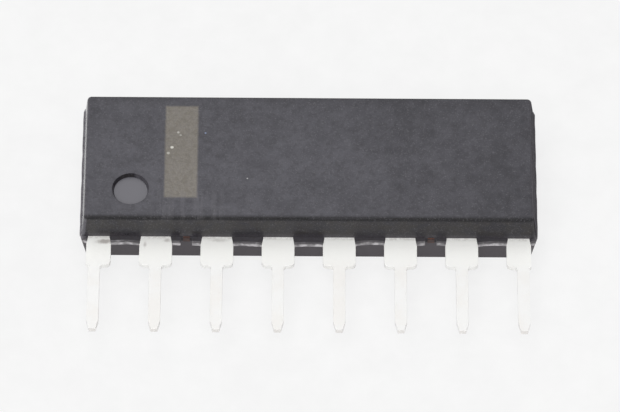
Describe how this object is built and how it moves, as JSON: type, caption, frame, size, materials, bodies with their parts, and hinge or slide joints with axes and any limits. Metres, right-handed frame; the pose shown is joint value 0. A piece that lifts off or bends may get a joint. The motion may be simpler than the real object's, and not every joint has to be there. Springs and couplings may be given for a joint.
{
  "type": "single in-line integrated circuit package",
  "caption": "Small black moulded chip package lying on its back, with flat stamped leads in one row along its lower side and a round dimple at one end of its face.",
  "frame": {"origin": "centre of the back face, on which the package lies", "axes": "+X along the lead row from lead 1 to the last lead, -Y the way the leads point, +Z out of the marked front face"},
  "size_m": [0.019, 0.011, 0.0028],
  "materials": {
    "moulding_compound": "fine matt moulded epoxy, charcoal black",
    "tinned_lead": "dull bright tin plate",
    "copper_frame": "bare copper alloy, sheared where it was cut",
    "silver_adhesive": "cured silver-filled epoxy",
    "silicon": "polished silicon",
    "gold_wire": "drawn gold wire"
  },
  "bodies": {
    "root": {"moulded_body": "moulding_compound", "lead_1": "tinned_lead", "lead_2": "tinned_lead", "lead_3": "tinned_lead", "lead_4": "tinned_lead", "lead_5": "tinned_lead", "lead_6": "tinned_lead", "lead_7": "tinned_lead", "lead_8": "tinned_lead", "die_pad": "copper_frame", "die_attach": "silver_adhesive", "silicon_die": "silicon", "bond_wire_1": "gold_wire", "bond_wire_2": "gold_wire", "bond_wire_3": "gold_wire", "bond_wire_4": "gold_wire", "bond_wire_5": "gold_wire", "bond_wire_6": "gold_wire", "bond_wire_7": "gold_wire", "bond_wire_8": "gold_wire"}
  },
  "joints": []
}
